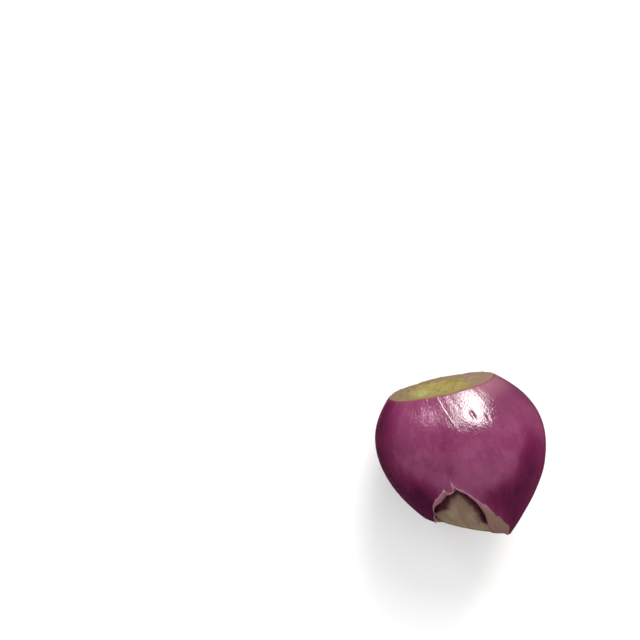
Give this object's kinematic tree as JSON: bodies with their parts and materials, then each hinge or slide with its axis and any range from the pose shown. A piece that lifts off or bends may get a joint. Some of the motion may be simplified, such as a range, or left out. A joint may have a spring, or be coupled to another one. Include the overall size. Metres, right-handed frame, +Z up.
{
  "type": "pink shallot",
  "caption": "Peeled pink shallot lying on its side: root end cut to show the basal plate, outer scale torn at the trimmed neck over paler inner scales.",
  "frame": {"origin": "centre of the small flat spot under the belly, on the surface the bulb lies on", "axes": "+Z up from the surface, +Y from the neck towards the root end, +X across the bulb, its longest extent"},
  "size_m": [0.0378, 0.0373, 0.0343],
  "materials": {
    "outer_scale": "moist, glossy pink-purple skin with fine lengthwise veins",
    "inner_bulb": "moist cream flesh with faint lengthwise lines",
    "basal_plate": "fibrous yellow-green cut face"
  },
  "bodies": {
    "root": {"outer_scale": "outer_scale", "inner_bulb": "inner_bulb", "basal_plate": "basal_plate"}
  },
  "joints": []
}
